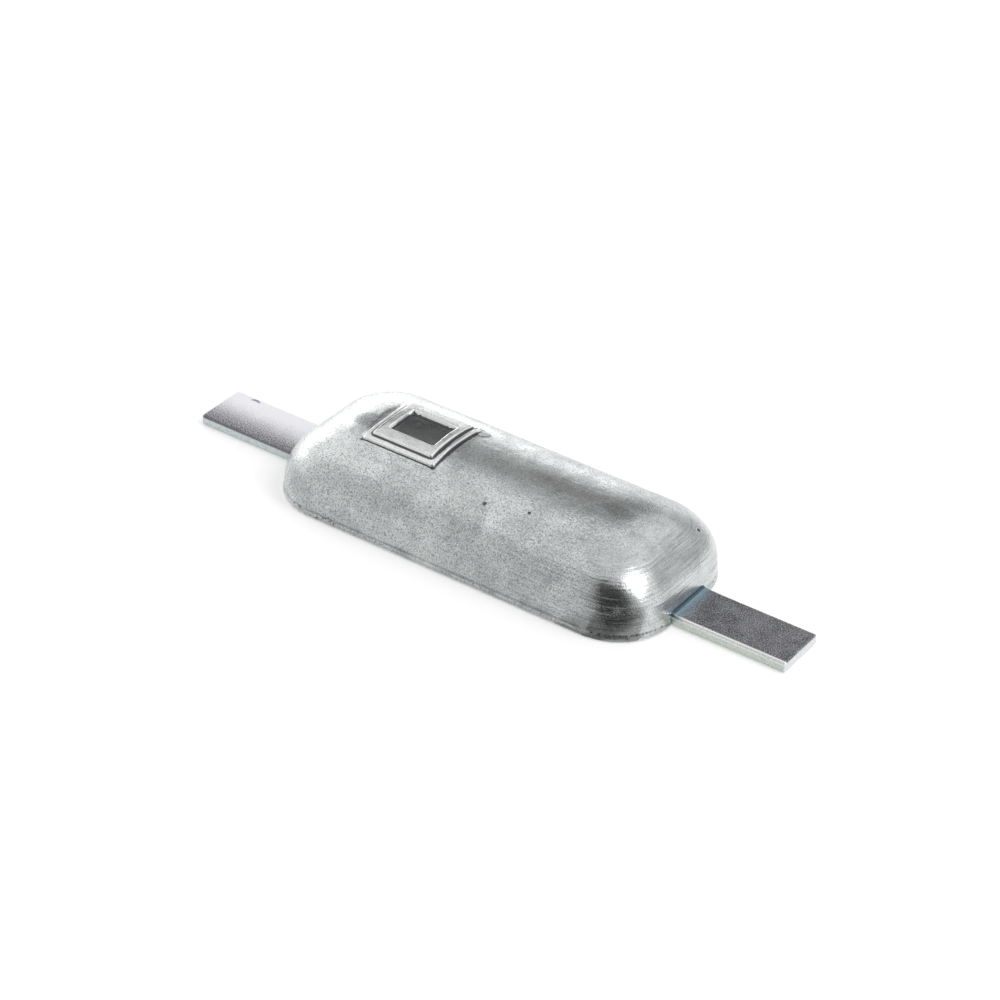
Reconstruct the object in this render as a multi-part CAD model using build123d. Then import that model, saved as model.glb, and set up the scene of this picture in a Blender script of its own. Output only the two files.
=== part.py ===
from build123d import *
import os
from math import cos, radians, tan

# Weld-on sacrificial anode: a loaf-shaped zinc casting poured around one flat steel bar.
# X runs along the bar, Z points away from the hull, and the flat back face lies on Z = 0.

# --- steel strap ---
strap_overall_length = 282.0
strap_width = 25.0
strap_thickness = 5.0
strap_edge_radius = 1.3
strap_end_chamfer = 0.4

# the bar is cranked at both ends, so that its middle run sits inside the zinc
crank_rise = 4.0
crank_run = 16.0
crank_overhang = 1.0  # how far the crank starts outside the casting
crank_bend_radius = 12.0

# --- zinc casting ---
casting_length = 181.0
casting_width = 81.0
casting_height = 32.2
casting_corner_radius = 25.0
end_slope_run = 46.0  # distance over which each end climbs to the ridge
crown_fullness = 3.3  # exponent of the section: 2 is an ellipse, more is a fuller shoulder
ridge_half_angle = 88.0  # last level of the crown, in degrees up its section
level_count = 12
end_reach = casting_corner_radius + end_slope_run  # length of each lofted end

# the narrow parting lip around the back face
lip_height = 2.2
lip_step = 0.6
lip_back_chamfer = 0.6
lip_front_chamfer = 0.3

# the zinc shrinks tight onto the bar, all but this film
cast_clearance = 0.05

# --- raised pad, cast on the crown near the left end ---
pad_length = 34.5
pad_width = 35.0
pad_centre_x = -38.6
pad_step_height = 1.3
pad_step_width = 2.6
pad_rim_height = 2.4
field_length = 20.0
field_width = 17.0
field_height = 0.5
pad_wall_draft = 14.0
pad_corner_radius = 1.2
pad_reach = 9.0  # the pad's blocks run this far under and over the level of the ridge


def strap_path():
    """Centre line of the bar: two end tabs on the hull side and a raised middle run."""
    tab_level = strap_thickness / 2
    middle_level = tab_level + crank_rise
    tip = strap_overall_length / 2
    crank_outer = casting_length / 2 + crank_overhang
    crank_inner = crank_outer - crank_run
    with BuildLine(Plane.XZ) as line:
        FilletPolyline(
            (-tip, tab_level),
            (-crank_outer, tab_level),
            (-crank_inner, middle_level),
            (crank_inner, middle_level),
            (crank_outer, tab_level),
            (tip, tab_level),
            radius=crank_bend_radius,
        )
    return line.wire()


def bar(clearance=0.0):
    """The flat bar swept along its centre line, with the rounded edges of rolled stock."""
    path = strap_path()
    across = Plane(origin=path @ 0, x_dir=(0, 1, 0), z_dir=path % 0)
    section = across * RectangleRounded(
        strap_width + 2 * clearance,
        strap_thickness + 2 * clearance,
        strap_edge_radius + clearance,
    )
    return sweep(section, path=path)


def make_steel_strap():
    """The bar with its two sheared ends broken by a small chamfer."""
    strap = bar()
    end_edges = strap.faces().sort_by(Axis.X)[0].edges() + strap.faces().sort_by(Axis.X)[-1].edges()
    return chamfer(end_edges, length=strap_end_chamfer)


def level(spread, grow):
    """Half of one level outline, from the seam to the end: spread is 1 at the lip and 0 at the ridge."""
    half_length = end_reach + grow - end_slope_run * (1 - spread)
    half_width = (casting_width / 2 - lip_step + grow) * spread
    corner = (casting_corner_radius - lip_step + grow) * spread
    height = (casting_height + grow) * (1 - spread**2) ** (1 / crown_fullness)
    outline = split(RectangleRounded(2 * half_length, 2 * half_width, corner), Plane.YZ)
    return Pos(0, 0, max(height, lip_height)) * outline


def crown(grow=0.0):
    """The casting's rounded form above the lip: two ends lofted through their levels, and a middle."""
    step = ridge_half_angle / (level_count - 1)
    half_middle = casting_length / 2 - lip_step - end_reach
    end = loft([level(cos(radians(index * step)), grow) for index in range(level_count)])
    right_end = Pos(half_middle, 0) * end
    seam = right_end.faces().sort_by(Axis.X)[0]
    return right_end + mirror(right_end, Plane.YZ) + extrude(seam, 2 * half_middle)


def make_blank():
    """The crown standing on the flat lip that the mould's parting line leaves around the back."""
    outline = RectangleRounded(casting_length, casting_width, casting_corner_radius)
    lip = extrude(outline, lip_height)
    lip = chamfer(lip.faces().sort_by(Axis.Z)[-1].edges(), lip_front_chamfer)
    blank = crown() + lip
    return chamfer(blank.faces().sort_by(Axis.Z)[0].edges(), lip_back_chamfer)


def pad_block(length, width, draft):
    """A block that stands through the crown, with the given plan at the level of the ridge."""
    growth = pad_reach * tan(radians(draft))
    outline = RectangleRounded(length + 2 * growth, width + 2 * growth, pad_corner_radius + abs(growth))
    foot = Plane.XY.offset(casting_height - pad_reach) * Pos(pad_centre_x, 0) * outline
    return extrude(foot, 2 * pad_reach, taper=draft)


def make_zinc_casting():
    """The casting with its lip and its pad, and the slot that the bar leaves in it."""
    body = make_blank()
    body += pad_block(pad_length, pad_width, pad_wall_draft) & crown(pad_step_height)
    inner_length = pad_length - 2 * pad_step_width
    inner_width = pad_width - 2 * pad_step_width
    body += pad_block(inner_length, inner_width, pad_wall_draft) & crown(pad_rim_height)
    body -= pad_block(field_length, field_width, -pad_wall_draft) - crown(field_height)
    return body - bar(cast_clearance)


os.makedirs("parts", exist_ok=True)
export_step(make_zinc_casting(), "parts/zinc_casting.step")
export_step(make_steel_strap(), "parts/steel_strap.step")
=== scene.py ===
"""Weld-on sacrificial anode: a zinc casting on a plated steel strap, dressed and lit.

The casting is two voxel copies of its solid, a coarse body and a fine pad, with the unevenness
and pits of a sand-cast surface worked into the mesh. The strap keeps its solid. Lengths named
*_mm, and those of the spots, dents, blocks and the recess, are in millimetres. All others are
in metres.
"""

import functools
import logging
import math
from collections.abc import Callable
from dataclasses import dataclass
from enum import Enum

import bmesh
import bpy
import numpy
from mathutils import Matrix, Vector, noise


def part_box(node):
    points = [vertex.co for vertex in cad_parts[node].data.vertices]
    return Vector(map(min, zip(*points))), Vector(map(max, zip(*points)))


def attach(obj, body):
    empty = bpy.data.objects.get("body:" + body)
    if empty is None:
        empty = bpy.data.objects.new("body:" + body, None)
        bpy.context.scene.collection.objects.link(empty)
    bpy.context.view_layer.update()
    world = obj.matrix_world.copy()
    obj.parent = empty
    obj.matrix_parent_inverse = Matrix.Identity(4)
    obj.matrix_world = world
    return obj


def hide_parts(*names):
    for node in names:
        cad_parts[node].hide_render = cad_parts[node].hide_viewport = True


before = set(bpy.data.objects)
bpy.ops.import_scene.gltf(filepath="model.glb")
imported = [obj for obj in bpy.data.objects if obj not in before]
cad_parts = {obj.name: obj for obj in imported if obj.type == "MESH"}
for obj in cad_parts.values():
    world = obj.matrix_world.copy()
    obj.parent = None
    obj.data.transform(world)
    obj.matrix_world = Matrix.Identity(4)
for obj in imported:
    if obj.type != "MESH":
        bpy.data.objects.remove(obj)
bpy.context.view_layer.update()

LOG = logging.getLogger("anode")
MM = 0.001
WELD_GAP = 1e-6
CUT_GAP = 1e-7
PAD_CENTRE_MM = -38.6
Colour = tuple[float, float, float, float]
Socket = bpy.types.NodeSocket


def grey(level: float, green: float = 0.0, blue: float = 0.0) -> Colour:
    """Returns an opaque near-grey colour, shifted towards green or blue."""
    return (level, level + green, level + blue, 1.0)


def eased(share: float) -> float:
    """Gives a share held to 0..1 and eased at both ends."""
    held = min(max(share, 0.0), 1.0)
    return held * held * (3.0 - 2.0 * held)


def put(name: str, data: bpy.types.ID) -> bpy.types.Object:
    """Makes an object round some data and links it into the scene."""
    made = bpy.data.objects.new(name, data)
    bpy.context.scene.collection.objects.link(made)
    return made


# --------------------------------------------------------------------------- node graphs


@dataclass(frozen=True)
class Here:
    """The shaded point in millimetres, as a vector and as its three parts."""

    place: Socket
    x: Socket
    y: Socket
    z: Socket


class Graph:
    """Lays out the nodes of one material and hands their sockets round."""

    def __init__(self, name: str) -> None:
        """Makes an empty material.

        Args:
            name: the material's name.
        """
        self.material = bpy.data.materials.new(name)
        self.material.use_nodes = True
        self.tree = self.material.node_tree
        self.tree.nodes.clear()
        self.shader = self.node("ShaderNodeBsdfPrincipled")
        output = self.node("ShaderNodeOutputMaterial")
        self.join(self.shader.outputs[0], output.inputs["Surface"])

    def node(self, kind: str, **settings: object) -> bpy.types.Node:
        """Adds one node and applies its settings."""
        made = self.tree.nodes.new(kind)
        for key, value in settings.items():
            setattr(made, key, value)
        return made

    def join(self, start: Socket, end: Socket) -> None:
        """Links an output socket to an input socket."""
        self.tree.links.new(start, end)

    def feed(self, socket: Socket, value: object) -> None:
        """Links a socket, or sets a plain value on it."""
        if isinstance(value, Socket):
            self.join(value, socket)
        else:
            socket.default_value = value

    def here(self) -> Here:
        """Gives the shaded point, by its object coordinates in millimetres."""
        coordinates = self.node("ShaderNodeTexCoord")
        mapping = self.node("ShaderNodeMapping")
        parts = self.node("ShaderNodeSeparateXYZ")
        self.join(coordinates.outputs["Object"], mapping.inputs["Vector"])
        mapping.inputs["Scale"].default_value = (1.0 / MM,) * 3
        self.join(mapping.outputs["Vector"], parts.inputs[0])
        return Here(mapping.outputs["Vector"], *parts.outputs)

    def noise(
        self,
        vector: Socket,
        scale: float,
        detail: float = 2.0,
        rough: float = 0.5,
        bend: float = 0.0,
    ) -> Socket:
        """Gives fractal noise from 0 to 1, centred on 0.5."""
        made = self.node("ShaderNodeTexNoise")
        self.join(vector, made.inputs["Vector"])
        made.inputs["Scale"].default_value = scale
        made.inputs["Detail"].default_value = detail
        made.inputs["Roughness"].default_value = rough
        made.inputs["Distortion"].default_value = bend
        return made.outputs["Fac"]

    def cells(self, vector: Socket, scale: float) -> Socket:
        """Gives the distance to the nearest of scattered points."""
        made = self.node("ShaderNodeTexVoronoi", feature="F1")
        self.join(vector, made.inputs["Vector"])
        made.inputs["Scale"].default_value = scale
        return made.outputs["Distance"]

    def sums(self, operation: str, first: object, second: object = 0.0) -> Socket:
        """Gives the result of one sum on two values or sockets."""
        made = self.node("ShaderNodeMath", operation=operation)
        self.feed(made.inputs[0], first)
        self.feed(made.inputs[1], second)
        return made.outputs[0]

    def plus(self, first: object, second: object) -> Socket:
        """Gives the sum of two values."""
        return self.sums("ADD", first, second)

    def less(self, first: object, second: object) -> Socket:
        """Gives the first value less the second."""
        return self.sums("SUBTRACT", first, second)

    def times(self, first: object, second: object) -> Socket:
        """Gives the product of two values."""
        return self.sums("MULTIPLY", first, second)

    def larger(self, first: object, second: object) -> Socket:
        """Gives the larger of two values."""
        return self.sums("MAXIMUM", first, second)

    def absolute(self, value: Socket) -> Socket:
        """Gives a value without its sign."""
        return self.sums("ABSOLUTE", value)

    def span(
        self,
        value: Socket,
        low: float,
        high: float,
        to_low: float = 0.0,
        to_high: float = 1.0,
    ) -> Socket:
        """Maps the span low..high of a value on to to_low..to_high, eased and held there.

        Args:
            value: the socket to map.
            low: start of the span; it may be above high.
            high: end of the span.
            to_low: result at low.
            to_high: result at high.

        Returns:
            The mapped socket.
        """
        made = self.node("ShaderNodeMapRange", clamp=True, interpolation_type="SMOOTHSTEP")
        self.join(value, made.inputs["Value"])
        for key, number in zip(
            ("From Min", "From Max", "To Min", "To Max"), (low, high, to_low, to_high)
        ):
            made.inputs[key].default_value = number
        return made.outputs[0]

    def mix(self, share: object, first: object, second: object) -> Socket:
        """Blends two colours by a share from 0 to 1."""
        made = self.node("ShaderNodeMix", data_type="RGBA")
        self.feed(made.inputs[0], share)
        self.feed(made.inputs[6], first)
        self.feed(made.inputs[7], second)
        return made.outputs[2]

    def painted(self, name: str) -> Socket:
        """Gives a value that is stored on the mesh's points."""
        made = self.node("ShaderNodeAttribute", attribute_type="GEOMETRY", attribute_name=name)
        return made.outputs["Fac"]

    def bump(
        self,
        height: Socket,
        depth_mm: float,
        strength: float = 1.0,
        under: Socket | None = None,
    ) -> Socket:
        """Gives a normal tilted by a height field of the given depth."""
        made = self.node("ShaderNodeBump")
        self.join(height, made.inputs["Height"])
        made.inputs["Distance"].default_value = depth_mm * MM
        made.inputs["Strength"].default_value = strength
        if under is not None:
            self.join(under, made.inputs["Normal"])
        return made.outputs["Normal"]

    def dress(self, **sockets: object) -> bpy.types.Material:
        """Feeds the main shader by its sockets' names, with _ for a space.

        Returns:
            The finished material.
        """
        for key, value in sockets.items():
            self.feed(self.shader.inputs[key.replace("_", " ")], value)
        return self.material


# --------------------------------------------------------------------------- finishes


@dataclass(frozen=True)
class Spot:
    """A soft oval seen from above, in millimetres: its centre, half sizes and strength."""

    x: float
    y: float
    half_x: float
    half_y: float
    strength: float


@dataclass(frozen=True)
class CastZinc:
    """Bare cast zinc: cloudy, finely grained metal with runs along the level lines, and painted
    shade.
    """

    light: Colour = grey(0.74, 0.030, 0.026)
    dull: Colour = grey(0.57, 0.032, 0.028)
    shade: Colour = grey(0.24, 0.008, 0.014)
    # Near black: painted shade in the hollows, the sunk field and beside the pad, and the chips by
    # the lip.
    painted_shade_and_pits: Colour = grey(0.07, 0.002, 0.006)
    worn: Colour = grey(0.92, 0.006, 0.004)
    cloud_per_mm: float = 0.06
    patch_per_mm: float = 0.2
    swell_per_mm: float = 0.4
    chip_per_mm: float = 0.9
    speck_per_mm: float = 1.4
    grain_per_mm: float = 1.7
    painted_right_shade_mm: tuple[float, float] = (-10.0, 50.0)
    smooth_end_mm: tuple[float, float] = (50.0, 75.0)
    glossy_end_mm: tuple[float, float] = (45.0, 72.0)
    lip_mm: tuple[float, float] = (2.4, 1.2)
    chip_height_mm: tuple[float, float] = (6.0, 4.0)
    pad_half_mm: tuple[float, float] = (17.3, 17.6)
    pad_floor_mm: float = 23.0
    run_top_mm: float = 34.0
    run_reach_mm: float = 40.0
    runs_per_mm: float = 2.0
    run_drift_per_mm: float = 0.06
    # Painted shade: dark patches on the crown beside the pad.
    painted_shade_spots: tuple[Spot, ...] = (
        Spot(-57.5, 0.0, 4.0, 14.0, 0.97),
        Spot(-62.0, -4.0, 8.0, 7.0, 0.75),
        Spot(54.5, 1.0, 9.0, 5.0, 0.45),
    )
    # Painted shade on the walls of the pad's steps.
    painted_pad_shade: tuple[Spot, ...] = (
        Spot(-52.3, -4.5, 0.75, 9.5, 0.9),
        Spot(-55.9, -4.0, 0.9, 12.0, 0.9),
        Spot(-23.5, -6.5, 0.9, 8.0, 0.9),
        Spot(-20.9, -3.5, 0.9, 10.0, 0.8),
    )
    chips: tuple[Spot, ...] = (Spot(-57.0, -40.0, 7.0, 3.0, 0.9),)

    def material(self) -> bpy.types.Material:
        """Returns the procedural cast zinc material."""
        g = Graph("cast_zinc")
        here = g.here()
        cloud = g.noise(here.place, self.cloud_per_mm, 5.0, 0.62, 0.5)
        grain = g.noise(here.place, self.grain_per_mm, 2.0, 0.6)
        runs = self.runs(g, here)
        pad = self.on_pad(g, here)
        coarse = g.span(here.x, *self.smooth_end_mm, 1.0, 0.5)
        coarse = g.times(coarse, g.span(pad, 0.0, 1.0, 1.0, 0.4))
        dark_grain = g.times(g.span(grain, 0.48, 0.68, 0.0, 0.9), coarse)
        pale_grain = g.times(g.span(grain, 0.46, 0.3, 0.0, 0.7), coarse)
        pale_runs = g.span(runs, 0.48, 0.32)

        colour = self.metal(g, here, cloud)
        colour = g.mix(g.times(pad, 0.95), colour, self.worn)
        colour = g.mix(dark_grain, colour, self.shade)
        colour = g.mix(pale_grain, colour, self.worn)
        colour = g.mix(g.span(runs, 0.52, 0.70, 0.0, 0.45), colour, self.shade)
        colour = g.mix(g.times(pale_runs, 0.32), colour, self.worn)
        colour = self.shaded_and_soiled(g, here, colour, grain, pad)

        chalk = g.larger(g.times(pale_runs, 0.3), g.times(pale_grain, 0.4))
        normal = g.bump(g.noise(here.place, self.swell_per_mm, 3.0, 0.55), 0.12, 0.5)
        normal = g.bump(runs, 0.1, 1.0, normal)
        normal = g.bump(grain, 0.05, 0.8, normal)
        return g.dress(
            Base_Color=colour,
            Metallic=g.less(1.0, g.times(chalk, 0.6)),
            Roughness=self.roughness(g, here, cloud, grain),
            Normal=normal,
        )

    def metal(self, g: Graph, here: Here, cloud: Socket) -> Socket:
        """Gives the bare metal's colour: cloudy, with painted shade making it a little darker
        towards the right end.
        """
        patch = g.noise(here.place, self.patch_per_mm, 4.0, 0.62)
        colour = g.mix(g.span(cloud, 0.38, 0.64), self.light, self.dull)
        colour = g.mix(g.span(patch, 0.54, 0.78, 0.0, 0.42), colour, self.shade)
        # Painted shade: the metal darkens towards the right end.
        return g.mix(g.span(here.x, *self.painted_right_shade_mm, 0.0, 0.18), colour, self.shade)

    def shaded_and_soiled(self, g: Graph, here: Here, colour: Socket, grain: Socket, pad: Socket) -> Socket:
        """Lays specks, chips and painted shade over a colour, darkens its bottom and wears its
        sharp edges.

        Args:
            g: the graph to add to.
            here: the shaded point.
            colour: the clean colour.
            grain: the fine noise that breaks the stains up.
            pad: 1 on the pad and 0 off it.

        Returns:
            The colour with its specks, chips, painted shade and wear.
        """
        speck = g.cells(here.place, self.speck_per_mm)
        hollow = g.painted("hollow")
        colour = g.mix(g.span(speck, 0.16, 0.06, 0.0, 0.4), colour, self.shade)
        # Darker towards the bottom.
        colour = g.mix(g.span(here.z, *self.lip_mm, 0.0, 0.5), colour, self.shade)
        # Painted shade beside the pad and on its walls.
        colour = g.mix(self.painted_shade_share(g, here, grain, pad), colour, self.painted_shade_and_pits)
        colour = g.mix(self.chipped(g, here), colour, self.painted_shade_and_pits)
        # Painted shade in the pad's sunk field.
        colour = g.mix(g.times(g.painted("recess"), 0.82), colour, self.painted_shade_and_pits)
        # Painted shade in the hollows.
        colour = g.mix(g.span(hollow, 0.03, 0.22, 0.0, 0.95), colour, self.painted_shade_and_pits)
        # Sharp edges lightened as wear.
        return g.mix(g.span(hollow, -0.15, -0.7, 0.0, 0.6), colour, self.worn)

    def painted_shade_share(self, g: Graph, here: Here, grain: Socket, pad: Socket) -> Socket:
        """Gives the share of the painted shade beside the pad and on the walls of its steps."""
        spot_shade = g.times(self.spots(g, here, self.painted_shade_spots), g.span(pad, 0.0, 1.0, 1.0, 0.0))
        spot_shade = g.times(spot_shade, g.span(grain, 0.35, 0.55, 0.6, 1.0))
        wall_shade = g.times(self.spots(g, here, self.painted_pad_shade), g.span(grain, 0.3, 0.5, 0.5, 1.0))
        return g.times(g.larger(spot_shade, wall_shade), self.high_up(g, here))

    def chipped(self, g: Graph, here: Here) -> Socket:
        """Gives the share of the small chips just above the lip."""
        pits = g.span(g.noise(here.place, self.chip_per_mm, 1.0), 0.58, 0.65)
        chips = g.times(pits, self.spots(g, here, self.chips))
        return g.times(chips, g.span(here.z, *self.chip_height_mm))

    def roughness(self, g: Graph, here: Here, cloud: Socket, grain: Socket) -> Socket:
        """Gives the roughness: uneven with the clouds and the grain, and less at the right end."""
        rough = g.plus(g.span(cloud, 0.3, 0.7, 0.22, 0.32), g.span(grain, 0.3, 0.7, 0.0, 0.1))
        return g.times(rough, g.span(here.x, *self.glossy_end_mm, 1.0, 0.72))

    def runs(self, g: Graph, here: Here) -> Socket:
        """Gives thin streaks that follow the level lines, strongest on the right end.

        Args:
            g: the graph to add to.
            here: the shaded point.

        Returns:
            A height from 0 to 1, nearly flat away from the right end.
        """
        fall = g.less(1.0, g.sums("DIVIDE", here.z, self.run_top_mm))
        inward = g.times(g.sums("SQRT", g.larger(fall, 0.0)), self.run_reach_mm)
        joined = g.node("ShaderNodeCombineXYZ")
        for socket, value in zip(joined.inputs, (here.x, here.y)):
            g.join(g.times(value, self.run_drift_per_mm), socket)
        g.join(g.times(inward, self.runs_per_mm), joined.inputs[2])
        lines = g.noise(joined.outputs[0], 1.0, 2.0, 0.6)
        ends = g.times(g.span(here.x, 0.0, 66.0, 0.35, 1.0), g.span(here.z, 23.0, 30.0, 1.0, 0.35))
        return g.plus(g.times(g.less(lines, 0.5), ends), 0.5)

    def spots(self, g: Graph, here: Here, ovals: tuple[Spot, ...]) -> Socket:
        """Gives the share of some soft ovals, where the strongest one counts."""
        shares = []
        for oval in ovals:
            along = g.sums("DIVIDE", g.less(here.x, oval.x), oval.half_x)
            across = g.sums("DIVIDE", g.less(here.y, oval.y), oval.half_y)
            reach = g.plus(g.times(along, along), g.times(across, across))
            shares.append(g.span(reach, 1.0, 0.15, 0.0, oval.strength))
        return functools.reduce(g.larger, shares)

    def on_pad(self, g: Graph, here: Here) -> Socket:
        """Gives 1 on the pad and 0 off it, eased over half a millimetre."""
        ways = (g.absolute(g.less(here.x, PAD_CENTRE_MM)), g.absolute(here.y))
        inside_x, inside_y = (
            g.span(way, half + 0.1, half - 0.4) for way, half in zip(ways, self.pad_half_mm)
        )
        return g.times(g.times(inside_x, inside_y), self.high_up(g, here))

    def high_up(self, g: Graph, here: Here) -> Socket:
        """Gives 1 above the pad's lowest point and 0 from a millimetre below it."""
        return g.span(here.z, self.pad_floor_mm - 1.0, self.pad_floor_mm)


@dataclass(frozen=True)
class PlatedSteel:
    """Zinc-plated flat bar: grainy and bluish, with painted highlights on its upper edges and over
    the left tab's back half.
    """

    plate: Colour = grey(0.33, 0.0, 0.03)
    dull: Colour = grey(0.19, 0.0, 0.02)
    # Near white: rubbed specks in the grain, and the painted highlight on the right tab's upper
    # edges.
    rubbed_and_glint: Colour = grey(0.90, 0.01, 0.01)
    right_side: Colour = (0.54, 0.59, 0.54, 1.0)
    left_side: Colour = (0.56, 0.61, 0.61, 1.0)
    end_face: Colour = (0.72, 0.75, 0.74, 1.0)
    painted_highlight: Colour = grey(0.93, 0.0, 0.03)
    collar: Colour = (0.24, 0.36, 0.44, 1.0)
    # Near black: painted shade along the zinc's edge, and the scratch.
    root: Colour = (0.04, 0.07, 0.10, 1.0)
    cloud_per_mm: float = 0.12
    swell_per_mm: float = 0.3
    grain_per_mm: float = 1.8
    half_width_mm: float = 12.5
    top_mm: tuple[float, float] = (3.9, 4.6)
    root_mm: float = 90.5
    end_mm: float = 141.0
    collar_mm: float = 4.2
    scratch_mm: tuple[float, float] = (-130.0, 10.4)
    scratch_bow_per_mm: float = 0.12

    def material(self) -> bpy.types.Material:
        """Returns the procedural plated steel material."""
        g = Graph("plated_steel")
        here = g.here()
        cloud = g.noise(here.place, self.cloud_per_mm, 4.0, 0.6)
        grain = g.noise(here.place, self.grain_per_mm, 2.0, 0.65)
        top = g.span(here.z, *self.top_mm)
        right = g.span(here.x, -5.0, 5.0)
        painted_highlight = g.times(self.painted_highlight_share(g, here, cloud, grain), top)

        colour = g.mix(g.span(cloud, 0.35, 0.65), self.plate, self.dull)
        colour = g.mix(g.span(grain, 0.48, 0.74, 0.0, 0.8), colour, self.rubbed_and_glint)
        colour = g.mix(g.span(grain, 0.46, 0.3, 0.0, 0.6), colour, self.dull)
        colour = g.mix(top, self.sides(g, here, grain, right), colour)
        # Painted highlight along the right tab's upper edges, painted shade along the left tab's.
        colour = g.mix(self.arris(g, here), colour, g.mix(right, self.dull, self.rubbed_and_glint))
        # Painted highlight: a near-white patch over the left tab's back half.
        colour = g.mix(painted_highlight, colour, self.painted_highlight)
        colour = self.rooted(g, here, colour, grain, g.times(right, top))
        colour = g.mix(g.times(g.times(self.scratch(g, here), top), 0.7), colour, self.root)

        rough = g.plus(g.span(grain, 0.3, 0.7, 0.24, 0.36), g.times(painted_highlight, 0.3))
        normal = g.bump(g.noise(here.place, self.swell_per_mm, 3.0, 0.5), 0.1, 0.4)
        normal = g.bump(grain, 0.1, 0.9, normal)
        return g.dress(Base_Color=colour, Metallic=1.0, Roughness=rough, Normal=normal)

    def sides(self, g: Graph, here: Here, grain: Socket, right: Socket) -> Socket:
        """Gives the colour of the strap's sides and of its right end."""
        side = g.mix(right, self.left_side, self.right_side)
        side = g.mix(g.span(grain, 0.48, 0.7, 0.0, 0.4), side, self.dull)
        return g.mix(g.span(here.x, self.end_mm - 0.5, self.end_mm - 0.2), side, self.end_face)

    def arris(self, g: Graph, here: Here) -> Socket:
        """Gives the share of the two long upper edges, where highlight is painted on the right tab
        and shade on the left.
        """
        edge = g.span(g.absolute(here.y), self.half_width_mm - 1.5, self.half_width_mm - 0.8)
        return g.times(edge, g.span(here.z, 3.4, 4.1))

    def rooted(self, g: Graph, here: Here, colour: Socket, grain: Socket, part: Socket) -> Socket:
        """Lays the blue collar, and a line of painted shade at the zinc's edge, over a colour.

        Args:
            g: the graph to add to.
            here: the shaded point.
            colour: the plain colour.
            grain: the fine noise that frays the collar.
            part: 1 on the part of the strap that has the collar.

        Returns:
            The colour with both on it.
        """
        from_root = g.less(here.x, self.root_mm)
        frayed = g.plus(g.less(from_root, g.times(here.y, 0.06)), grain)
        collar = g.times(g.span(frayed, self.collar_mm + 1.2, self.collar_mm - 1.6), part)
        line = g.times(g.span(from_root, 0.4, 0.1), part)
        colour = g.mix(g.times(collar, 0.75), colour, self.collar)
        # Painted shade: a dark line where the strap enters the zinc.
        return g.mix(g.times(line, 0.7), colour, self.root)

    def painted_highlight_share(self, g: Graph, here: Here, cloud: Socket, grain: Socket) -> Socket:
        """Gives where the painted highlight lies on the left tab's plate: a pale matt patch over
        its back half.
        """
        wavering = g.plus(here.y, g.span(cloud, 0.2, 0.8, -1.8, 1.8))
        speckled = g.plus(wavering, g.span(grain, 0.3, 0.7, -4.5, 4.5))
        return g.times(g.span(speckled, -14.0, 5.5), g.span(here.x, -60.0, -88.0))

    def scratch(self, g: Graph, here: Here) -> Socket:
        """Gives the share of a small bent scratch on the left tab."""
        middle_x, middle_y = self.scratch_mm
        along = g.less(here.x, middle_x)
        bow = g.times(g.times(along, along), self.scratch_bow_per_mm)
        away = g.absolute(g.plus(g.less(here.y, middle_y), bow))
        return g.times(g.span(away, 0.9, 0.3), g.span(g.absolute(along), 3.0, 1.0))


class CardShade(Enum):
    """Shades of the studio's reflecting cards, as the light they send back."""

    BLACK = 0.04
    DARK = 0.06
    DUSK = 0.17
    DIM = 0.42
    MIDDLE = 0.68
    PALE = 0.82


@dataclass(frozen=True)
class StudioCard:
    """Matt card with a faint paper tone, which glows evenly at its shade rather than being lit."""

    shade: CardShade
    tone_per_mm: float = 0.004
    tone_swing: float = 0.1

    def material(self) -> bpy.types.Material:
        """Returns the card's material."""
        g = Graph("card_" + self.shade.name.lower())
        tone = g.noise(g.here().place, self.tone_per_mm, 2.0)
        darker, lighter = (
            grey(self.shade.value * (1.0 + way * self.tone_swing)) for way in (-1.0, 1.0)
        )
        return g.dress(
            Base_Color=grey(0.0),
            Roughness=1.0,
            Specular_IOR_Level=0.0,
            Emission_Color=g.mix(tone, darker, lighter),
            Emission_Strength=1.0,
        )


@dataclass(frozen=True)
class PaleFloor:
    """Matt white floor, a little self-lit so that it meets the white background."""

    paint: Colour = grey(0.86)
    paler: Colour = grey(0.88)
    tone_per_mm: float = 0.004
    glow: float = 0.33

    def material(self) -> bpy.types.Material:
        """Returns the floor's material."""
        g = Graph("pale_floor")
        tone = g.noise(g.here().place, self.tone_per_mm, 2.0)
        path = g.node("ShaderNodeLightPath").outputs
        seen = g.larger(path["Is Camera Ray"], path["Is Glossy Ray"])
        seen = g.larger(seen, path["Is Transmission Ray"])
        return g.dress(
            Base_Color=g.mix(tone, self.paint, self.paler),
            Roughness=1.0,
            Specular_IOR_Level=0.0,
            Emission_Color=grey(1.0),
            Emission_Strength=g.times(seen, self.glow),
        )


# --------------------------------------------------------------------------- pieces


@dataclass(frozen=True)
class Dent:
    """A small pit (depth above 0) or lump (depth below 0) in the casting."""

    x_mm: float
    y_mm: float
    z_mm: float
    radius_mm: float
    depth_mm: float


@dataclass(frozen=True)
class Block:
    """An upright block of the casting round the pad, open at the top."""

    centre_x: float
    half_x: float
    half_y: float
    floor: float

    def depth(self, here: Vector) -> float:
        """Gives how far a point lies inside the block's upright sides, negative outside."""
        return min(self.half_x - abs(here.x - self.centre_x), self.half_y - abs(here.y))


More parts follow.
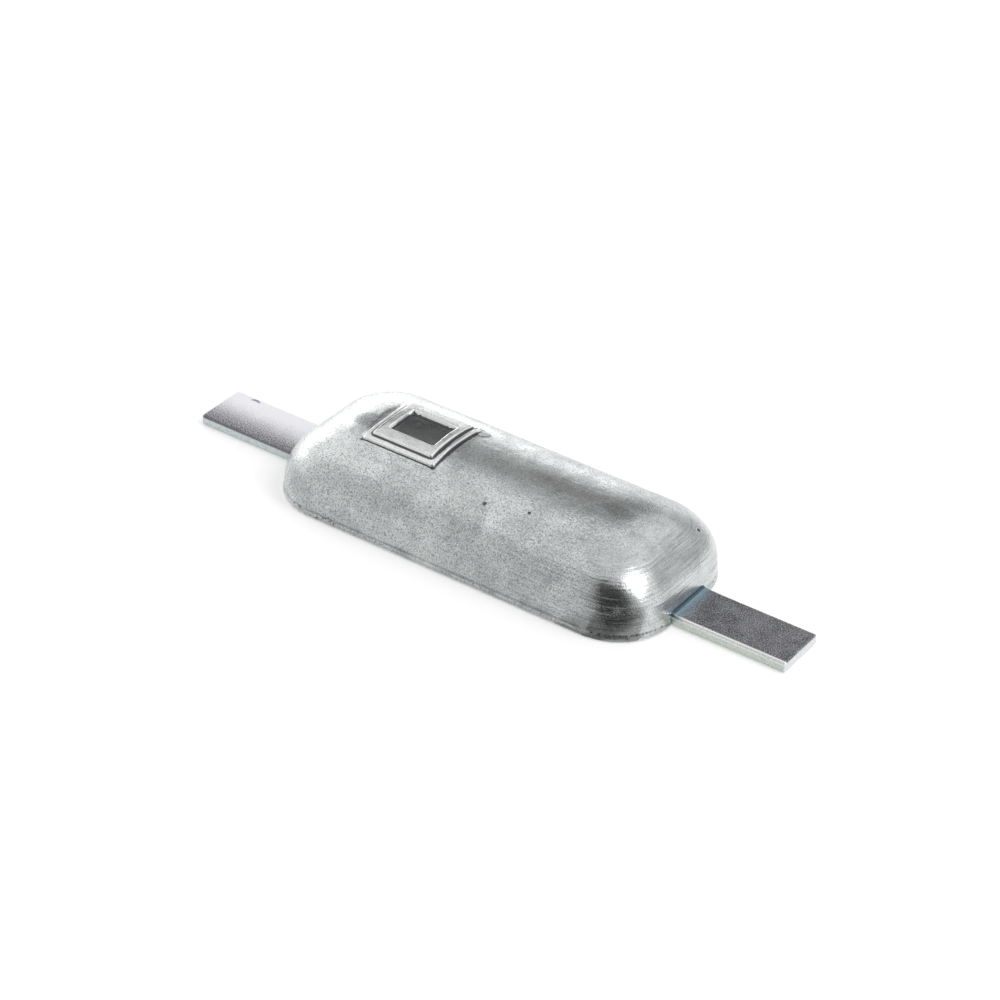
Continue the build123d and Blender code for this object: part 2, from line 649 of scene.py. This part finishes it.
@dataclass(frozen=True)
class Recess:
    """The pad's sunk field: its floor's edges, its walls' widths and its depth.

    The floor share is the share of the depth from which a point counts as floor.
    """

    left: float = -48.5
    right: float = -27.9
    front: float = -8.4
    back: float = 7.3
    left_wall: float = 0.7
    right_wall: float = 0.5
    front_wall: float = 0.5
    back_wall: float = 1.4
    depth: float = 1.9
    floor_share: float = 0.8

    def share(self, here: Vector) -> float:
        """Gives 1 on the floor, falling to 0 at the top of the walls and beyond."""
        ways = (
            1.0 + (here.x - self.left) / self.left_wall,
            1.0 + (self.right - here.x) / self.right_wall,
            1.0 + (here.y - self.front) / self.front_wall,
            1.0 + (self.back - here.y) / self.back_wall,
        )
        return max(min(*ways, 1.0), 0.0)


@dataclass
class ZincCasting:
    """The anode's zinc body, with the unevenness of its casting in the mesh.

    The raised pad is a finer mesh of its own, let into the body. The body sinks under it, and
    the pad's border dips a little below the body, so that one surface runs into the other.
    """

    node: str = "zinc_casting"
    body_voxel_mm: float = 0.76
    pad_voxel_mm: float = 0.33
    swell_mm: float = 0.16
    swell_span_mm: float = 17.0
    ripple_mm: float = 0.05
    ripple_span_mm: float = 4.5
    still_height_mm: float = 0.6
    still_span_mm: float = 2.0
    hollow_radius_mm: float = 1.6
    pad_block: Block = Block(PAD_CENTRE_MM, 20.8, 21.0, 20.5)
    sink_block: Block = Block(PAD_CENTRE_MM, 19.0, 19.2, 20.5)
    recess: Recess = Recess()
    dip_mm: float = 0.08
    dip_span_mm: float = 1.7
    sink_mm: float = 3.2
    sink_edge_mm: float = 0.8
    floor_level: float = 0.95
    floor_sample_mm: tuple[float, float] = (8.0, 6.5)
    carve_above_mm: float = 2.0
    dents: tuple[Dent, ...] = (
        Dent(-19.4, 15.6, 32.0, 3.4, -1.2),
        Dent(-27.7, -11.5, 32.6, 0.9, 0.9),
        Dent(-22.4, -16.6, 31.0, 0.8, 0.6),
        Dent(80.0, 21.5, 23.0, 1.7, 0.5),
        Dent(26.0, -19.0, 29.0, 1.8, 0.4),
        Dent(7.5, -23.0, 28.0, 2.2, 0.3),
    )

    def build(self) -> list[bpy.types.Object]:
        """Returns:
            The finished pieces.
        """
        finish = CastZinc().material()
        body = self.remeshed("cast_zinc_body", self.body_voxel_mm, None)
        self.work_surface(body, self.sink_body, soften_rounds=2, hollow_rounds=2)
        pad = self.remeshed("cast_zinc_pad", self.pad_voxel_mm, self.pad_block)
        self.carve_recess(pad)
        self.work_surface(pad, self.dip_pad, soften_rounds=1, hollow_rounds=5)
        for piece in (body, pad):
            piece.data.materials.append(finish)
            piece.data.shade_smooth()
            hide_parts(self.node)
            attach(piece, "root")
            LOG.info("%s: %d faces", piece.name, len(piece.data.polygons))
        return [body, pad]

    def remeshed(self, name: str, voxel_mm: float, block: Block | None) -> bpy.types.Object:
        """Makes an even voxel mesh from a merged copy of the solid.

        Args:
            name: the new piece's name.
            voxel_mm: the size of the mesh's faces.
            block: the block to cut from the copy first, or None for the whole of it.

        Returns:
            The new piece.
        """
        source = bpy.data.meshes.new("cast_source")
        bm = bmesh.new()
        bm.from_mesh(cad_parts[self.node].data)
        bmesh.ops.remove_doubles(bm, verts=bm.verts, dist=WELD_GAP)
        if block is not None:
            self.cut_to(bm, block)
        bm.to_mesh(source)
        bm.free()
        draft = put("cast_draft", source)
        remesh = draft.modifiers.new("voxels", "REMESH")
        remesh.mode = "VOXEL"
        remesh.voxel_size = voxel_mm * MM
        remesh.adaptivity = 0.0
        graph = bpy.context.evaluated_depsgraph_get()
        mesh = bpy.data.meshes.new_from_object(draft.evaluated_get(graph))
        bpy.data.objects.remove(draft)
        bpy.data.meshes.remove(source)
        mesh.name = name
        mesh.materials.clear()
        return put(name, mesh)

    def cut_to(self, bm: bmesh.types.BMesh, block: Block) -> None:
        """Cuts a mesh down to a block and closes the cuts.

        Args:
            bm: the mesh to cut.
            block: the block that is kept.
        """
        left, right = block.centre_x - block.half_x, block.centre_x + block.half_x
        cuts = (
            (Vector((left, 0.0, 0.0)), Vector((-1.0, 0.0, 0.0))),
            (Vector((right, 0.0, 0.0)), Vector((1.0, 0.0, 0.0))),
            (Vector((0.0, -block.half_y, 0.0)), Vector((0.0, -1.0, 0.0))),
            (Vector((0.0, block.half_y, 0.0)), Vector((0.0, 1.0, 0.0))),
            (Vector((0.0, 0.0, block.floor)), Vector((0.0, 0.0, -1.0))),
        )
        for place, outward in cuts:
            parts = bm.verts[:] + bm.edges[:] + bm.faces[:]
            bmesh.ops.bisect_plane(
                bm,
                geom=parts,
                dist=CUT_GAP,
                plane_co=place * MM,
                plane_no=outward,
                clear_outer=True,
            )
            rim = [edge for edge in bm.edges if edge.is_boundary]
            bmesh.ops.holes_fill(bm, edges=rim, sides=0)
        bmesh.ops.recalc_face_normals(bm, faces=bm.faces)

    def carve_recess(self, piece: bpy.types.Object) -> None:
        """Gives the pad's field square corners, and notes its floor on the mesh's points.

        Args:
            piece: the remeshed pad.
        """
        bm = bmesh.new()
        bm.from_mesh(piece.data)
        bm.normal_update()
        cut, middle = self.recess, self.pad_block.centre_x
        reach_x, reach_y = self.floor_sample_mm

        def terms(here: Vector) -> list[float]:
            """Gives the terms of the floor's curved surface at a point."""
            along = here.x - middle
            return [1.0, along, along**2, along**3, here.y, here.y**2]

        tops = [
            vert.co / MM
            for vert in bm.verts
            if vert.normal.z > self.floor_level
            and abs(vert.co.x / MM - middle) < reach_x
            and abs(vert.co.y / MM) < reach_y
        ]
        rows = numpy.array([terms(here) for here in tops])
        heights = numpy.array([here.z for here in tops])
        floor = numpy.linalg.lstsq(rows, heights, rcond=None)[0]
        layer = bm.verts.layers.float.new("recess")
        for vert in bm.verts:
            here = vert.co / MM
            share = cut.share(here)
            if share > 0.0 and here.z > self.pad_block.floor + self.carve_above_mm:
                level = float(numpy.dot(floor, terms(here)))
                vert.co.z = (level + cut.depth * (1.0 - share)) * MM
                vert[layer] = eased((share - cut.floor_share) / (1.0 - cut.floor_share))
        bm.to_mesh(piece.data)
        bm.free()

    def work_surface(
        self,
        piece: bpy.types.Object,
        settle: Callable[[Vector], float],
        soften_rounds: int,
        hollow_rounds: int,
    ) -> None:
        """Softens the mesh, roughens it and notes its hollows, inside the solid's box.

        Args:
            piece: the remeshed piece.
            settle: gives how far a point sinks, in metres.
            soften_rounds: rounds of smoothing.
            hollow_rounds: rounds over which the note of the hollows is spread.
        """
        low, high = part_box(self.node)
        bm = bmesh.new()
        bm.from_mesh(piece.data)
        for _ in range(soften_rounds):
            bmesh.ops.smooth_vert(
                bm, verts=bm.verts, factor=0.5, use_axis_x=True, use_axis_y=True, use_axis_z=True
            )
        bm.normal_update()
        moves = [(vert, self.lift(vert.co), settle(vert.co)) for vert in bm.verts]
        for vert, lift, fall in moves:
            vert.co += vert.normal * lift
            vert.co.z -= fall
            for axis in range(3):
                vert.co[axis] = min(max(vert.co[axis], low[axis]), high[axis])
        self.note_hollows(bm, hollow_rounds)
        bm.to_mesh(piece.data)
        bm.free()

    def sink_body(self, place: Vector) -> float:
        """Gives how far the body sinks under the pad, in metres."""
        here = place / MM
        inside = self.sink_block.depth(here)
        if inside <= 0.0 or here.z < self.sink_block.floor:
            return 0.0
        dip = self.dip_mm * eased(inside / self.dip_span_mm)
        sink = self.sink_mm * eased((inside - self.sink_edge_mm) / self.dip_span_mm)
        return (dip + sink) * MM

    def dip_pad(self, place: Vector) -> float:
        """Gives how far the pad's border dips into the body, in metres."""
        inside = self.pad_block.depth(place / MM)
        return self.dip_mm * (1.0 - eased(inside / self.dip_span_mm)) * MM

    def note_hollows(self, bm: bmesh.types.BMesh, rounds: int) -> None:
        """Stores on each point how hollow (above 0) or how sharp (below 0) the surface is.

        Args:
            bm: the piece's mesh.
            rounds: rounds over which the values are spread.
        """
        layer = bm.verts.layers.float.new("hollow")
        bm.normal_update()
        bm.verts.index_update()
        values = []
        for vert in bm.verts:
            rings = [edge.other_vert(vert).co - vert.co for edge in vert.link_edges]
            reach = sum(ring.length_squared for ring in rings) or 1.0
            bend = 2.0 * sum(ring.dot(vert.normal) for ring in rings) / reach
            values.append(min(max(bend * MM * self.hollow_radius_mm, -1.0), 1.0))
        near = [[edge.other_vert(vert).index for edge in vert.link_edges] for vert in bm.verts]
        for _ in range(rounds):
            values = [
                0.5 * values[i] + 0.5 * sum(values[j] for j in ring) / max(len(ring), 1)
                for i, ring in enumerate(near)
            ]
        for vert, value in zip(bm.verts, values):
            vert[layer] = value

    def lift(self, place: Vector) -> float:
        """Gives how far a point moves out along its normal, in metres."""
        here = place / MM
        free = min(max((here.z - self.still_height_mm) / self.still_span_mm, 0.0), 1.0)
        swell = noise.noise(here / self.swell_span_mm) * self.swell_mm
        ripple = noise.noise(here / self.ripple_span_mm) * self.ripple_mm
        total = swell + ripple
        for dent in self.dents:
            gap = (here - Vector((dent.x_mm, dent.y_mm, dent.z_mm))).length / dent.radius_mm
            if gap < 1.0:
                total -= dent.depth_mm * (1.0 - gap * gap) ** 2
        return total * free * MM


@dataclass
class SteelStrap:
    """The plated flat bar that is cast into the zinc and welded on at both ends."""

    node: str = "steel_strap"

    def build(self) -> list[bpy.types.Object]:
        """Dresses the strap's own solid.

        Returns:
            The node's object.
        """
        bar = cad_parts[self.node]
        finish = PlatedSteel().material()
        for place in bar.material_slots:
            place.material = finish
        LOG.info("strap: %d faces", len(bar.data.polygons))
        return [bar]


# --------------------------------------------------------------------------- studio


@dataclass(frozen=True)
class Softbox:
    """A rectangular lamp. Turn 0 is straight behind the object, positive to the right."""

    name: str
    turn_deg: float
    lift_deg: float
    distance: float
    width: float
    height: float
    level: float


@dataclass(frozen=True)
class Card:
    """A card that only reflections show, placed as a softbox is."""

    name: str
    turn_deg: float
    lift_deg: float
    distance: float
    width: float
    height: float
    shade: CardShade


@dataclass(frozen=True)
class Mat:
    """A card that lies on the floor and only reflections show: painted shade for the floor by the
    casting.
    """

    name: str
    x: float
    y: float
    width: float
    depth: float
    height: float
    shade: CardShade


@dataclass
class Studio:
    """Camera, floor, lamps, cards and world.

    The focal share is the focal length in picture widths. The standing cards and the mats
    draw the casting's near right corner: the black ones make its dark patch, and the dim ones
    soften that patch's edges.
    """

    azimuth_deg: float = 31.8286
    elevation_deg: float = 33.7256
    roll_deg: float = 3.8
    distance: float = 1.4041265
    focal_share: float = 3.4984765
    target: tuple[float, float, float] = (0.0001107, 0.0000653, 0.0146925)
    sensor_mm: float = 36.0
    sight: tuple[float, float] = (0.05, 50.0)
    floor_size: float = 12.0
    ambient: float = 0.62
    lamp_watts: float = 4.0
    softboxes: tuple[Softbox, ...] = (
        Softbox("right_box", 110.0, 57.0, 1.6, 0.76, 0.68, 2.5),
        Softbox("right_strip", 124.0, 36.0, 1.6, 0.34, 0.66, 2.2),
        Softbox("back_left_box", -38.0, 14.0, 1.8, 1.5, 0.7, 1.1),
        Softbox("back_low_box", -6.0, 5.0, 1.9, 0.9, 0.36, 1.6),
    )
    cards: tuple[Card, ...] = (
        Card("back_card", 1.0, 34.5, 1.7, 0.98, 0.66, CardShade.DARK),
        Card("front_right_card", 161.0, 36.0, 2.0, 0.9, 2.9, CardShade.BLACK),
        Card("front_left_card", 193.5, 38.5, 2.0, 1.5, 3.2, CardShade.BLACK),
        Card("right_edge_card", 141.0, 34.0, 2.02, 0.56, 2.7, CardShade.DIM),
        Card("left_edge_card", 221.0, 34.0, 2.02, 0.5, 2.7, CardShade.DIM),
        Card("left_card", -116.0, 30.0, 2.1, 1.9, 2.1, CardShade.MIDDLE),
        Card("right_card", 58.0, 20.0, 2.1, 2.6, 1.5, CardShade.MIDDLE),
        Card("over_card", 0.0, 86.0, 2.1, 1.8, 1.8, CardShade.PALE),
    )
    # Painted shade: the mats stand in for the shaded floor beside the casting, in reflections
    # only.
    mats: tuple[Mat, ...] = (
        Mat("front_mat", -0.214, -0.3206, 0.572, 0.5588, 0.0006, CardShade.MIDDLE),
        Mat("corner_outer_mat", 0.327, -0.315, 0.546, 0.570, 0.0007, CardShade.DIM),
        Mat("corner_middle_mat", 0.333, -0.3195, 0.534, 0.561, 0.0008, CardShade.DUSK),
        Mat("corner_inner_mat", 0.340, -0.324, 0.520, 0.552, 0.0009, CardShade.BLACK),
    )

    def build(self) -> None:
        """Builds the whole studio."""
        self.place_camera()
        self.light_world()
        self.lay_floor()
        for box in self.softboxes:
            self.hang_softbox(box)
        for card in self.cards:
            place = self.facing(card.turn_deg, card.lift_deg, card.distance)
            self.set_card(card.name, card.width, card.height, place, card.shade)
        for mat in self.mats:
            place = Matrix.Translation((mat.x, mat.y, mat.height))
            self.set_card(mat.name, mat.width, mat.depth, place, mat.shade)

    def back(self) -> Vector:
        """Gives the direction from the object to the camera."""
        a, e = math.radians(self.azimuth_deg), math.radians(self.elevation_deg)
        return Vector((math.sin(a) * math.cos(e), -math.cos(a) * math.cos(e), math.sin(e)))

    def heading(self, turn_deg: float, lift_deg: float) -> Vector:
        """Gives a direction by its turn from straight behind the object, and its lift.

        Args:
            turn_deg: turn to the camera's right, from straight ahead.
            lift_deg: angle above the floor.

        Returns:
            A unit vector.
        """
        a = math.radians(self.azimuth_deg)
        ahead = Vector((-math.sin(a), math.cos(a), 0.0))
        right = Vector((math.cos(a), math.sin(a), 0.0))
        turn, lift = math.radians(turn_deg), math.radians(lift_deg)
        level = ahead * math.cos(turn) + right * math.sin(turn)
        return level * math.cos(lift) + Vector((0.0, 0.0, math.sin(lift)))

    def facing(self, turn_deg: float, lift_deg: float, distance: float) -> Matrix:
        """Gives the place of something that hangs in a direction and faces the object."""
        way = self.heading(turn_deg, lift_deg)
        across = Vector((0.0, 0.0, 1.0)).cross(way).normalized()
        return self.stood(way * distance, across, way.cross(across), way)

    def stood(self, spot: Vector, *axes: Vector) -> Matrix:
        """Gives the place of something with its three axes turned to the given ones."""
        place = Matrix(axes).transposed().to_4x4()
        place.translation = spot
        return place

    def place_camera(self) -> None:
        """Makes the camera and makes it the scene's."""
        lens = bpy.data.cameras.new("view")
        lens.sensor_width = self.sensor_mm
        lens.lens = self.sensor_mm * self.focal_share
        lens.clip_start, lens.clip_end = self.sight
        camera = put("view", lens)
        back = self.back()
        a, roll = math.radians(self.azimuth_deg), math.radians(self.roll_deg)
        right = Vector((math.cos(a), math.sin(a), 0.0))
        upward = back.cross(right)
        across = right * math.cos(roll) + upward * math.sin(roll)
        top = upward * math.cos(roll) - right * math.sin(roll)
        spot = Vector(self.target) + back * self.distance
        camera.matrix_world = self.stood(spot, across, top, back)
        bpy.context.scene.camera = camera

    def light_world(self) -> None:
        """Makes a world that looks white and lights at the plain ambient level."""
        world = bpy.data.worlds.new("studio")
        bpy.context.scene.world = world
        world.use_nodes = True
        tree = world.node_tree
        shade = tree.nodes["Background"]
        shade.inputs["Color"].default_value = grey(1.0)
        path = tree.nodes.new("ShaderNodeLightPath").outputs
        first = tree.nodes.new("ShaderNodeMath")
        second = tree.nodes.new("ShaderNodeMath")
        first.operation = second.operation = "MAXIMUM"
        tree.links.new(path["Is Camera Ray"], first.inputs[0])
        tree.links.new(path["Is Glossy Ray"], first.inputs[1])
        tree.links.new(first.outputs[0], second.inputs[0])
        tree.links.new(path["Is Transmission Ray"], second.inputs[1])
        level = tree.nodes.new("ShaderNodeMapRange")
        tree.links.new(second.outputs[0], level.inputs["Value"])
        level.inputs["To Min"].default_value = self.ambient
        level.inputs["To Max"].default_value = 1.0
        tree.links.new(level.outputs[0], shade.inputs["Strength"])

    def plane(self, name: str, width: float, height: float) -> bpy.types.Object:
        """Makes a flat rectangle about the origin, facing up."""
        mesh = bpy.data.meshes.new(name)
        bm = bmesh.new()
        bmesh.ops.create_grid(bm, x_segments=1, y_segments=1, size=0.5)
        bmesh.ops.scale(bm, verts=bm.verts, vec=(width, height, 1.0))
        bm.to_mesh(mesh)
        bm.free()
        return put(name, mesh)

    def lay_floor(self) -> None:
        """Lays the pale floor under the object."""
        floor = self.plane("floor", self.floor_size, self.floor_size)
        floor.data.materials.append(PaleFloor().material())

    def hang_softbox(self, box: Softbox) -> None:
        """Hangs one lamp, facing the object."""
        lamp = bpy.data.lights.new(box.name, "AREA")
        lamp.shape = "RECTANGLE"
        lamp.size, lamp.size_y = box.width, box.height
        lamp.energy = box.level * box.width * box.height * self.lamp_watts
        made = put(box.name, lamp)
        made.matrix_world = self.facing(box.turn_deg, box.lift_deg, box.distance)
        LOG.info("softbox %s: %.1f W", box.name, lamp.energy)

    def set_card(
        self, name: str, width: float, height: float, place: Matrix, shade: CardShade
    ) -> None:
        """Sets up one card that only glossy rays meet.

        Args:
            name: the card's name.
            width: its width.
            height: its height, or its depth where it lies flat.
            place: its place.
            shade: its shade.
        """
        made = self.plane(name, width, height)
        made.data.transform(place)
        made.data.materials.append(StudioCard(shade).material())
        made.visible_camera = False
        made.visible_diffuse = False
        made.visible_shadow = False


# --------------------------------------------------------------------------- main


def main() -> None:
    """Builds the pieces in order, then the studio, and notes the sizes."""
    logging.basicConfig(level=logging.INFO, format="%(name)s: %(message)s")
    bpy.context.scene.view_settings.view_transform = "Standard"
    for maker in (ZincCasting(), SteelStrap()):
        for made in maker.build():
            LOG.info("made %s", made.name)
    Studio().build()


if __name__ == "__main__":
    main()
